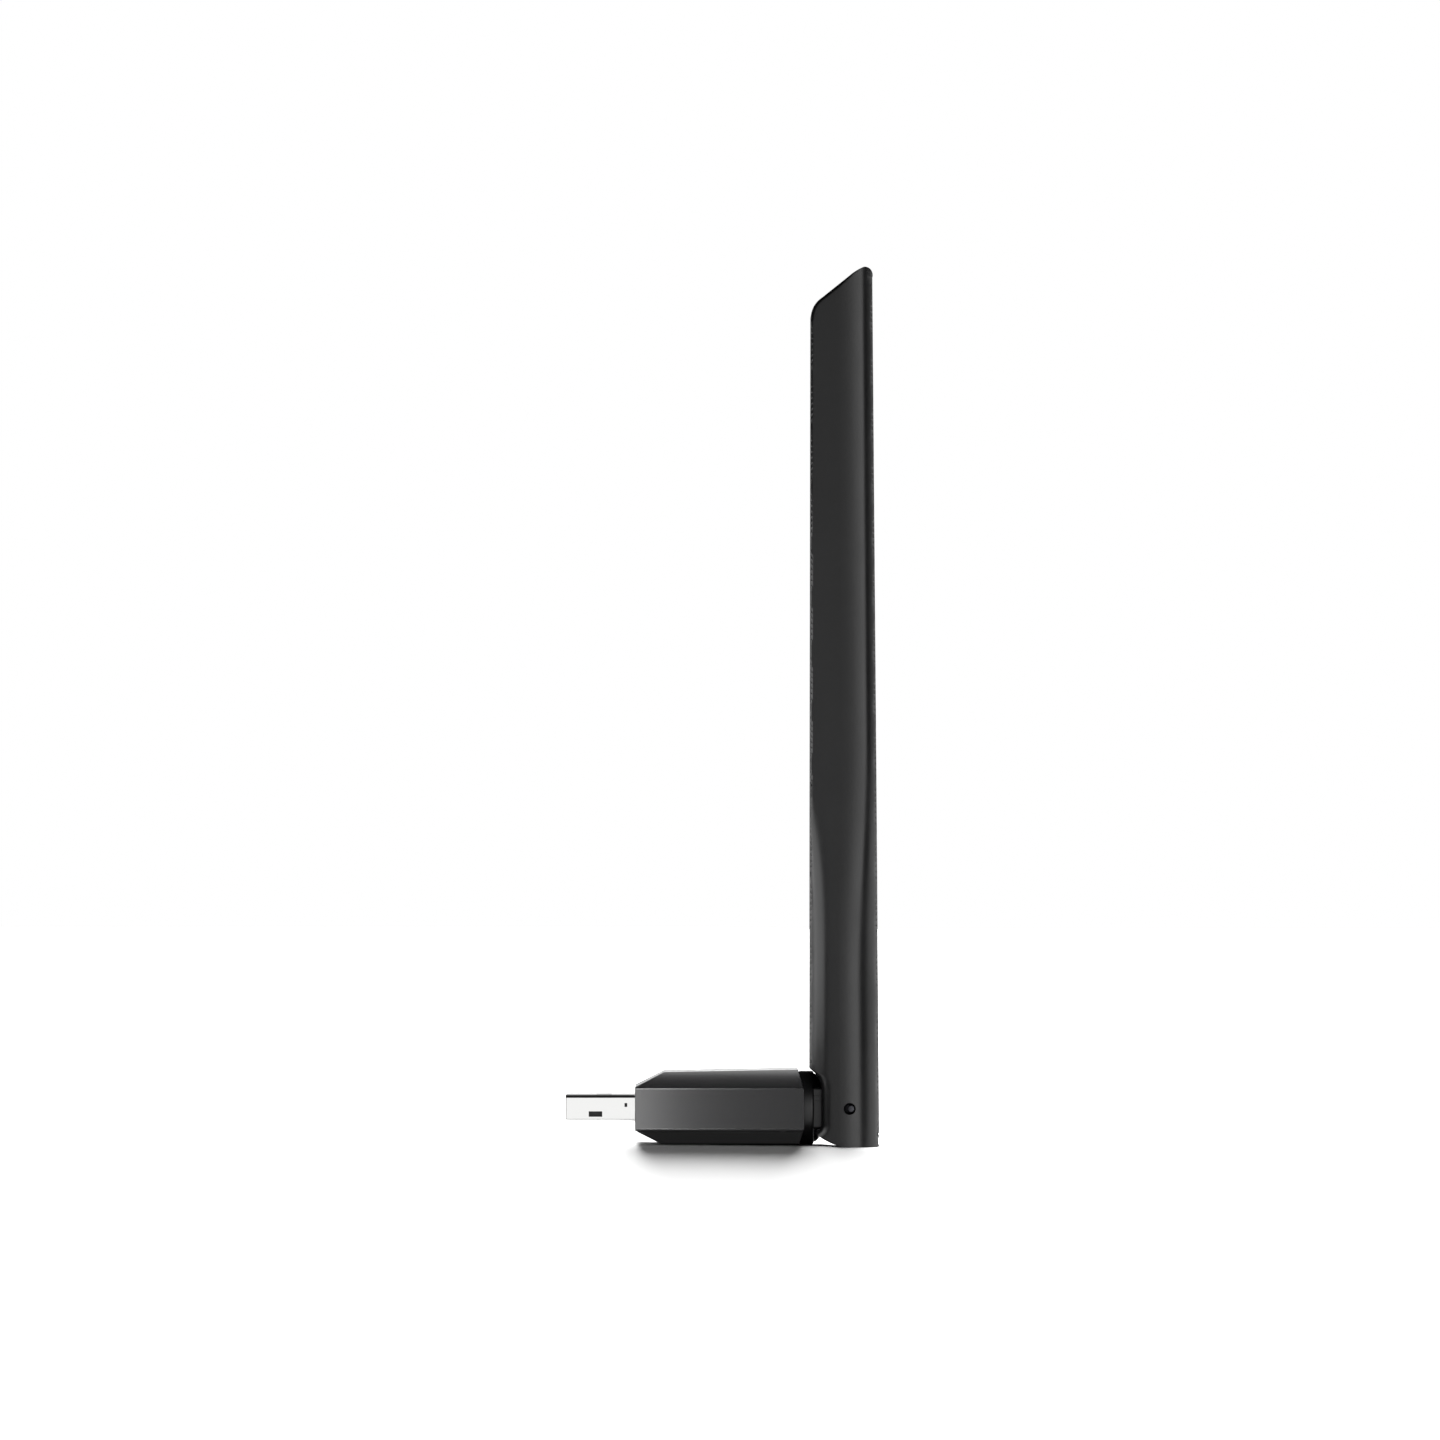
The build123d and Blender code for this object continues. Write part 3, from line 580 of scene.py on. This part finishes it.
def side_depth(x, z):
    """Distance of the antenna's side from the mid-plane."""
    falls = [0.0]
    if z > FOOT_TOP - 4:
        falls += [rounded_off(x - front_x(z), *front_corner(z)), rounded_off(x - front_x(z), CRISP_R)]
    reach, steepness, radius = back_corner(z)
    from_back = back_x(z) - x
    falls.append(steepness * max(0.0, reach - from_back) ** 2 + rounded_off(from_back, radius))
    if z < 10:
        falls.append(rounded_off(distance_to(EDGES["bite"], x, z), BITE_R))
        falls.append(rounded_off(distance_to(EDGES["heel"], x, z), HEEL_R))
    if z > 130:
        falls.append(rounded_off(distance_to(EDGES["top"], x, z), TOP_R))
    return half_width(z) - max(falls)


# %% [markdown]
# The points over the outline are laid in rows and columns, close together where an edge curves and further apart
# on the flat, and extra rings follow the bite, the heel and the top. A Delaunay fill joins them into a skin. Its
# rim is then drawn in to the mid-plane, with a small step there that shows as the seam between the halves.

# %% Build one half of the antenna
FROM_FRONT = [0.04, 0.1, 0.18, 0.28, 0.42, 0.6, 0.85, 1.15, 1.5, 1.9, 2.4, 2.9, 3.4, 4.1, 5.0]
FROM_BACK = [0.03, 0.08, 0.16, 0.28, 0.45, 0.68, 0.95, 1.3, 1.7, 2.15, 2.6, 3.1, 3.6, 4.2, 4.9, 5.7, 6.5]
ROW_STEP, ROW_GAP, RING_GAP = 0.9, 0.75, 0.028


def inside_outline(x, z):
    inside = False
    for (ax, az), (bx, bz) in zip(outline, outline[1:] + outline[:1]):
        if (az > z) != (bz > z) and x < ax + (bx - ax) * (z - az) / (bz - az):
            inside = not inside
    return inside


def outline_normals():
    """Inward direction at each outline point."""
    normals = []
    count = len(outline)
    for k in range(count):
        (ax, az), (bx, bz) = outline[k - 1], outline[(k + 1) % count]
        length = math.hypot(bx - ax, bz - az)
        normals.append((-(bz - az) / length, (bx - ax) / length))
    return normals


inward = outline_normals()
probe = (outline[0][0] + 0.1 * inward[0][0], outline[0][1] + 0.1 * inward[0][1])
if not inside_outline(*probe):
    inward = [(-nx, -nz) for nx, nz in inward]


def skin_points():
    """Points inside the outline, at least a little away from it and from each other."""
    found, taken = [], set()

    def keep(x, z, gap, near_edges):
        cell = (round(x / gap), round(z / gap))
        if cell in taken or not inside_outline(x, z):
            return
        if near_edges and min(distance_to(EDGES[name], x, z) for name in near_edges) < RING_GAP:
            return
        taken.add(cell)
        found.append((x, z))

    rings = {"bite": [0.05, 0.14, 0.28, 0.48, 0.72, 1.0, 1.35, BITE_R], "heel": [0.05, HEEL_R, 0.3],
             "top": [0.05, 0.14, 0.28, 0.45, TOP_R]}
    for (x, z), (nx, nz) in zip(outline, inward):
        for name, steps in rings.items():
            if distance_to(EDGES[name], x, z) < 1e-6:
                for step in steps:
                    keep(x + nx * step, z + nz * step, 0.05, ("bite", "heel") if z < 50 else ("top",))
    rows = int((ANT_TOP - ANT_BOTTOM) / ROW_STEP)
    for row in range(1, rows + 1):
        z = ANT_BOTTOM + row * ROW_STEP
        columns = [front_x(z) + d for d in FROM_FRONT] + [back_x(z) - d for d in FROM_BACK]
        for x in columns:
            ends = ("bite", "heel") if z < 10 else ("top",) if z > 130 else ()
            if ends and min(distance_to(EDGES[name], x, z) for name in ends) < ROW_GAP:
                continue
            keep(x, z, 0.02, ())
    return found


inner_points = skin_points()
flat_points = [Vector(p) for p in outline + inner_points]
ring = list(range(len(outline)))
filled = delaunay_2d_cdt(flat_points, [], [ring], 1, 1e-5)
skin_verts, skin_faces = filled[0], filled[2]
print("antenna skin:", len(skin_verts), "points", len(skin_faces), "triangles")

# %% [markdown]
# The skin becomes a solid: a wall runs from its rim to the mid-plane and a flat face closes it. The foot is then
# opened between the ears, the inside is hollowed to a thin wall, and the pin's hole is drilled. The far half is
# the same shape mirrored, as on the real casing, where only the pegs differ. Light that only grazes the long
# triangles would show their edges, so its shadow on them is eased.

# %% Close and cut the antenna's halves
SEAM_STEP, SEAM_GAP, SEAM_INSET = 0.14, 0.02, 0.07
EAR_INNER, WEB_TOP = 6.45, 8.2


def half_casing(name):
    """The near half before its openings: skin, rim wall with the seam's step, and the flat face that closes it."""
    points = [(v.x, -side_depth(v.x, v.y), v.y) for v in skin_verts]
    faces = [tuple(f) for f in skin_faces]
    place_of = {source: k for k, sources in enumerate(filled[3]) for source in sources}
    rim = [place_of[k] for k in ring]
    rows = [rim]
    for y, inset in ((-SEAM_STEP, 0.0), (-SEAM_GAP, SEAM_INSET)):
        start = len(points)
        points += [(x + nx * inset, y, z + nz * inset) for (x, z), (nx, nz) in zip(outline, inward)]
        rows.append(list(range(start, len(points))))
    count = len(rim)
    for a, b in zip(rows, rows[1:]):
        faces += [(a[k], a[(k + 1) % count], b[(k + 1) % count], b[k]) for k in range(count)]
    faces.append(tuple(rows[-1]))
    piece = new_piece(name, points, faces)
    fix_normals(piece)
    return piece


def casing_hollow():
    """The inside of the near half, a tapered bar with its back corner cut off."""
    low = NARROWS_FROM
    narrowing = NARROWING / (ANT_TOP - low)
    lean = BACK_LEAN / (ANT_TOP - ANT_BOTTOM)
    slope_out = Vector((-0.625, 0, 0.781))
    planes = [(Vector((front_x(low) + WALL, 0, 0)), Vector((-1, 0, 0))),
              (Vector((back_x(low) - WALL, 0, low)), Vector((1, 0, lean)).normalized()),
              (Vector((0, 0, WEB_TOP)), Vector((0, 0, -1))),
              (Vector((0, WALL - HALF_W_FOOT, low)), Vector((0, -1, narrowing)).normalized()),
              (Vector((38.6, -6.9, low)), Vector((1, -1, narrowing + lean)).normalized()),
              (Vector((slope_low[0], 0, slope_low[1])) - 1.5 * slope_out, slope_out),
              (Vector((0, 0, 138.2)), Vector((0, 0, 1)))]
    return carve("hollow", (20, -12, -10), (45, 1, 150), planes)


antenna_near = half_casing("antenna_near")
foot_room = box_piece("foot_room", (20, 39.7), (-EAR_INNER, 1), (-9, FOOT_TOP))
back_gap = bar_piece("back_gap", FLANGE_R + 0.25, -9, -4.2, "Z", (PIN_X, 0, 0), 96)
combine(antenna_near, [foot_room, back_gap, casing_hollow()])
boss = bar_piece("boss", 2.4, -EAR_INNER - 0.2, -BLOCK_HALF_W - 0.28, "Y", (PIN_X, 0, 0), 64)
combine(antenna_near, [boss], "UNION")
pin_hole = bar_piece("pin_hole", 1.0, -12, 1, "Y", (PIN_X, 0, 0), 64)
cable_hole = bar_piece("cable_hole", 1.5, 6, 9, "Z", (PIN_X, 0, 0), 48)
combine(antenna_near, [pin_hole, cable_hole])

antenna_far = bpy.data.objects.new("antenna_far", antenna_near.data.copy())
bpy.context.scene.collection.objects.link(antenna_far)
antenna_far.data.transform(Matrix.Scale(-1, 4, (0, 1, 0)))
antenna_far.data.flip_normals()
finish_piece(antenna_near, "antenna", abs_matte, "antenna_black", "antenna_cover_near", angle=34)
finish_piece(antenna_far, "antenna", abs_matte, "antenna_black", "antenna_cover_far", angle=34)
SHADOW_EASE = 0.2
for half in (antenna_near, antenna_far):
    half.shadow_terminator_geometry_offset = SHADOW_EASE
    half.shadow_terminator_shading_offset = SHADOW_EASE

# %% [markdown]
# The plug's sleeve is a folded steel box with soft corners. A real one is drawn from sheet, so inside and outside
# corners share a centre. The latch windows on the broad sides and the small openings on the narrow sides are cut
# right through, and a fine slit beside them is only scored. Two tabs at the back hold the sleeve to the board.

# %% Plug sleeve
PLUG_W, PLUG_H, PLUG_OUT, PLUG_IN, SHELL_T = 12.0, 4.5, 11.6, 6.5, 0.3


def rounded_box_ring(half_w, half_h, radius, steps=8):
    """A rounded rectangle of (y, z) points."""
    ring_points = []
    for quarter, (cy, cz) in enumerate(((1, 1), (-1, 1), (-1, -1), (1, -1))):
        for k in range(steps + 1):
            turn = math.pi / 2 * (quarter + k / steps)
            ring_points.append((cy * (half_w - radius) + radius * math.cos(turn),
                                cz * (half_h - radius) + radius * math.sin(turn)))
    return ring_points


def sleeve(name):
    """Rings run out along the outside, over the rolled front lip and back along the inside."""
    w, h = PLUG_W / 2, PLUG_H / 2
    lip = SHELL_T / 2
    sections = [(PLUG_IN, 0.0), (-PLUG_OUT + lip, 0.0)]
    for k in range(1, 9):
        turn = math.pi * k / 8
        sections.append((-PLUG_OUT + lip - lip * math.sin(turn), lip - lip * math.cos(turn)))
    sections.append((PLUG_IN, SHELL_T))
    points, faces = [], []
    for x, inset in sections:
        points += [(x, y, z) for y, z in rounded_box_ring(w - inset, h - inset, max(0.55 - inset, 0.2))]
    count = len(points) // len(sections)
    for row in range(len(sections)):
        a, b = row * count, ((row + 1) % len(sections)) * count
        faces += [(a + k, a + (k + 1) % count, b + (k + 1) % count, b + k) for k in range(count)]
    piece = new_piece(name, points, faces)
    fix_normals(piece)
    return piece


plug_sleeve = sleeve("plug_sleeve")
windows = [box_piece("window", (-6.45, -3.95), (y - 1, y + 1), (-3, 3)) for y in (-2.25, 2.25)]
for side in (-1, 1):
    y0, y1 = sorted((side * 5.5, side * 6.3))
    windows.append(box_piece("window", (-7.73, -5.48), (y0, y1), (-1.38, -0.47)))
    seam_y0, seam_y1 = sorted((side * 5.8, side * 6.3))
    windows.append(box_piece("slit", (-8.8, -8.58), (seam_y0, seam_y1), (0.3, 1.05)))
    windows.append(box_piece("window", (-1.75, -1.3), (y0, y1), (0.26, 0.9)))
combine(plug_sleeve, windows)
tabs = []
for side in (-1, 1):
    y0, y1 = sorted((side * 5.85, side * 6.95))
    tabs.append(box_piece("tab", (3.4, 5.4), (y0, y1), (-0.9, -0.6)))
combine(plug_sleeve, tabs, "UNION")
finish_piece(plug_sleeve, "adapter", nickel, "plug_shell", "usb_shell", angle=30, flats=True)

# %% [markdown]
# The cross pins are short steel stubs, pressed into the block. Their outer ends sit well below the ear's surface
# and are dressed to a small face a little off centre, which catches the light inside the dark hole.

# %% Cross pins
PIN_DRESSED = 0.25
for side, pin_node in ((-1, "hinge_pin_near"), (1, "hinge_pin_far")):
    pin_profile = [(3.2, PIN_R), (7.55, PIN_R), (7.6, 0.9), (7.8, 0.62), (8.0, 0.52), (8.04, 0.4)]
    cross_pin = lathe_piece(f"cross_pin_{'near' if side < 0 else 'far'}",
                            [(side * y, r) for y, r in pin_profile], "Y", (PIN_X, 0, 0), 64)
    for vert in cross_pin.data.vertices:
        vert.co.x += PIN_DRESSED * max(0.0, min(1.0, (abs(vert.co.y) - 7.6) / 0.2))
    finish_piece(cross_pin, "swivel", dark_steel, "pin_steel", pin_node)

# %% [markdown]
# The coax has to pass the cross pin, so on the real adapter it bends there each time the antenna folds. Here it is
# one smooth tube, shaped as at rest and given to neither side of the joint.

# %% Coax bend
COAX_R, BEND_R, COAX_START_X = 0.565, 3.5, 31.0


def tube(name, path, radius, sides=20):
    """A round tube along a path in the XZ plane."""
    points, faces = [], []
    for k, (x, z) in enumerate(path):
        ax, az = path[max(k - 1, 0)]
        bx, bz = path[min(k + 1, len(path) - 1)]
        length = math.hypot(bx - ax, bz - az)
        up = (-(bz - az) / length, (bx - ax) / length)
        for j in range(sides):
            turn = 2 * math.pi * j / sides
            out, across = radius * math.cos(turn), radius * math.sin(turn)
            points.append((x + up[0] * out, across, z + up[1] * out))
    for row in range(len(path) - 1):
        for j in range(sides):
            a, b = row * sides + j, row * sides + (j + 1) % sides
            faces.append((a, b, b + sides, a + sides))
    faces.append(tuple(range(sides)))
    faces.append(tuple(range((len(path) - 1) * sides, len(path) * sides)))
    piece = new_piece(name, points, faces)
    fix_normals(piece)
    return piece


bend_path = [(COAX_START_X, 0.0)] + arc((PIN_X - BEND_R, BEND_R), BEND_R, -90, 0, 20)
bend_path += [(PIN_X, BEND_R + (WEB_TOP - BEND_R) * k / 6) for k in range(1, 7)]
coax_bend = tube("coax_bend", bend_path, COAX_R)
coax_bend.data.transform(Matrix.Scale(MM, 4))
coax_bend.data.shade_smooth()
coax_bend.data.set_sharp_from_angle(angle=math.radians(40))
coax_bend.data.materials.append(jacket)
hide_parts("coax_cable_hinge")
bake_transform(coax_bend)
print("coax bend length in mm:", round(sum(math.dist(a, b) for a, b in zip(bend_path, bend_path[1:])), 2))

# %% [markdown]
# The floor is a plain pale sheet that lies flat under the adapter and rolls off gently in front of it, the way a
# paper sweep hangs over a table's edge. The roll catches the soft shadow where an eye-level view can see it. Paper
# isn't perfectly flat, and this sheet lies about half a millimetre higher under the plug and case than under the
# foot. It is a light grey that strong light brings to white, which leaves its shadow dark.

# %% Floor
FOOT_Z = ANT_BOTTOM - 0.02
ROLL_START, ROLL_SLOPE, ROLL_BLEND = -8.5, 0.5, 3.0
SHEET_LIE = [(-2500, -5.96), (0, -5.96), (27, -6.18), (31, -6.19), (32.5, -6.28), (34.5, FOOT_Z), (2500, FOOT_Z)]


def roll_off(y):
    """Flat under the adapter, then easing into a steady fall towards the viewer."""
    run = max(0.0, ROLL_START - y)
    if run < ROLL_BLEND:
        return -ROLL_SLOPE * run * run / (2 * ROLL_BLEND)
    return -ROLL_SLOPE * (run - ROLL_BLEND / 2)


floor_rows = [2500, 400, 60, 10, 0, -4] + [ROLL_START - 0.5 * k for k in range(8)]
floor_rows += [-14, -24, -50, -90, -200, -600, -1500]
floor_points = [(x, y, z + roll_off(y)) for y in floor_rows for x, z in SHEET_LIE]
across = len(SHEET_LIE)
floor_faces = [(r * across + c, r * across + c + 1, (r + 1) * across + c + 1, (r + 1) * across + c)
               for r in range(len(floor_rows) - 1) for c in range(across - 1)]
floor = new_piece("floor", floor_points, floor_faces)
fix_normals(floor)
floor.data.transform(Matrix.Scale(MM, 4))
floor.data.shade_smooth()
paper = new_finish("paper_sweep_white", "#c8c8c8", 0.9)[0]
floor.data.materials.append(paper)
print("floor rows:", len(floor_rows), "height under the foot in mm:", round(FOOT_Z, 2))

# %% [markdown]
# Black plastic has almost no colour of its own: what is seen is the studio mirrored in it. So the room is drawn
# first. It is dark overhead and on the viewer's side and pale low down behind the object. The camera alone sees
# plain white everywhere.

# %% Room
ROOM_BEHIND, ROOM_DARK = 0.65, 0.02
world = bpy.data.worlds.new("studio")
bpy.context.scene.world = world
world.use_nodes = True
sky = world.node_tree
sky.nodes.clear()
direction = add(sky, "ShaderNodeTexCoord").outputs["Generated"]
parts = add(sky, "ShaderNodeSeparateXYZ", {"Vector": direction})


def fade(source, dark_at, bright_at, level):
    """A smooth rise from nothing to a level as a value goes from dark_at to bright_at."""
    made = add(sky, "ShaderNodeMapRange", {"Value": source, "From Min": dark_at, "From Max": bright_at,
                                           "To Min": 0.0, "To Max": level}, interpolation_type="SMOOTHSTEP")
    return made.outputs["Result"]


behind = fade(parts.outputs["Y"], 0.3, 0.85, ROOM_BEHIND)
low_band = fade(parts.outputs["Z"], 0.45, 0.1, 1.0)
walls = add(sky, "ShaderNodeMath", {0: behind, 1: low_band}, operation="MULTIPLY").outputs[0]
level = add(sky, "ShaderNodeMath", {0: walls, 1: ROOM_DARK}, operation="ADD").outputs[0]
lit = add(sky, "ShaderNodeBackground", {"Color": level, "Strength": 1.0})
seen = add(sky, "ShaderNodeBackground", {"Color": (1, 1, 1, 1), "Strength": 1.0})
ray = add(sky, "ShaderNodeLightPath")
mixed = add(sky, "ShaderNodeMixShader", {0: ray.outputs["Is Camera Ray"], 1: lit.outputs[0], 2: seen.outputs[0]})
add(sky, "ShaderNodeOutputWorld", {"Surface": mixed.outputs[0]})
print("room brightness behind:", ROOM_BEHIND, "elsewhere:", ROOM_DARK)

# %% [markdown]
# Twelve lamps work in that room, and most of them light only the pieces they are meant for, as flags and masks do
# on a real set. A softbox behind the viewer is what the flat sides mirror, one to its right draws the long
# highlight on the antenna's round back, and one close by on the left draws the lighter edge of its foot. The plug
# and the swivel have a card each. Around the case stand small lamps: one grades its side facets as its light falls
# off, two pick out the edges of those facets, one hangs over the upper facet and a low card lifts the lower one.
# Two wide soft suns finish it. The weak one fills, and the strong one whitens the floor and makes the shadow.

# %% Lamps
def softbox(name, place, target, size, brightness):
    """A rectangular lamp aimed at a point; its power follows from how bright its face should look."""
    lamp = bpy.data.lights.new(name, "AREA")
    lamp.shape = "RECTANGLE"
    lamp.size, lamp.size_y = size[0] * MM, size[1] * MM
    lamp.energy = brightness * math.pi * lamp.size * lamp.size_y
    holder = bpy.data.objects.new(name, lamp)
    holder.location = Vector(place) * MM
    holder.rotation_euler = (Vector(target) - Vector(place)).to_track_quat("-Z", "Y").to_euler()
    bpy.context.scene.collection.objects.link(holder)
    holder.visible_camera = False
    return holder


def around(azimuth, distance, height):
    """A place at a distance from the object, with azimuth 0 on the viewer's side and growing to the right."""
    turn = math.radians(azimuth)
    return (20 + distance * math.sin(turn), -distance * math.cos(turn), height)


def group(name, pieces):
    """A named set of pieces for a lamp to light or to be shaded by."""
    made = bpy.data.collections.new(name)
    for piece in pieces:
        made.objects.link(piece)
    return made


def only_for(lamp, *pieces):
    """Lets a lamp light these pieces alone, as flags and masks do on a real set."""
    lamp.light_linking.receiver_collection = group(lamp.name + "_lights", pieces)
    return lamp


everything = [thing for thing in bpy.context.scene.objects if thing.type == "MESH" and thing is not floor]
plastics = [thing for thing in everything if thing is not plug_sleeve]
covers = (case_top, case_tray)
front_card = (around(0, 1500, 20), (20, 0, 20), (900, 800))
only_for(softbox("softbox_viewer", around(0, 1500, 120), (20, 0, 20), (900, 2000), 0.5), *plastics)
only_for(softbox("softbox_right", around(32, 1500, 70), (38, 0, 70), (580, 1500), 2.6), *everything)
only_for(softbox("softbox_left", (-12, -27, 54), (29, -8, 54), (66, 86), 2.3), antenna_near, antenna_far)
only_for(softbox("card_plug", *front_card, 1.24), plug_sleeve)
only_for(softbox("card_swivel", *front_card, 0.6), swivel_base)
only_for(softbox("lamp_near_left", (-6, -80, 0), (-6, -9, 0), (16, 60), 6.2), *covers)
only_for(softbox("lamp_edge_high", (-6, -90, 50), (0, -9, 3.4), (30, 30), 34.0), case_top)
low_lamp = only_for(softbox("lamp_edge_low", (-6, -90, -50), (0, -9, -3.4), (30, 30), 38.0), case_top)
only_for(softbox("lamp_over_case", (14, 6.2, 12), (14, 6.2, 0), (60, 26), 5.8), case_top)
card_under = only_for(softbox("card_under", (14, -9.2, -5.9), (14, -9.2, 0), (29, 5.6), 0.17), *covers)
for lamp in (low_lamp, card_under):
    lamp.light_linking.blocker_collection = group(lamp.name + "_shaded_by", [swivel_base])


def soft_sun(name, energy, spread, tilt):
    """Even light from far above; the tilt in degrees leans it towards the back, so shadows fall forward."""
    sun = bpy.data.lights.new(name, "SUN")
    sun.energy = energy
    sun.angle = math.radians(spread)
    holder = bpy.data.objects.new(name, sun)
    holder.rotation_euler = (math.radians(-tilt), 0, 0)
    holder.visible_glossy = False
    bpy.context.scene.collection.objects.link(holder)
    return holder


soft_sun("overhead_soft", 1.0, 60, 10)
back_sun = only_for(soft_sun("back_soft", 14.5, 40, 36), floor)
back_sun.light_linking.blocker_collection = group("back_soft_shaded_by", [case_top, case_tray, swivel_base])

# %% [markdown]
# The view is from the side at eye level, from far away through a long lens, so that nothing is foreshortened. The
# lens follows from the width the frame should take in at the adapter's near side.

# %% Camera
FRAME_MM, DISTANCE_MM, SENSOR_MM = 240.0, 2400.0, 36.0
VIEW_X, VIEW_Z = 14.18, 64.83
camera = bpy.data.cameras.new("camera")
camera.sensor_width = SENSOR_MM
camera.lens = SENSOR_MM * DISTANCE_MM / FRAME_MM
camera.clip_start, camera.clip_end = 0.05, 20.0
camera_holder = bpy.data.objects.new("camera", camera)
camera_holder.location = Vector((VIEW_X, -CASE_HALF_W - DISTANCE_MM, VIEW_Z)) * MM
camera_holder.rotation_euler = (math.pi / 2, 0, 0)
bpy.context.scene.collection.objects.link(camera_holder)
bpy.context.scene.camera = camera_holder
bpy.context.scene.view_settings.view_transform = "Standard"
print("camera lens in mm:", round(camera.lens, 1))
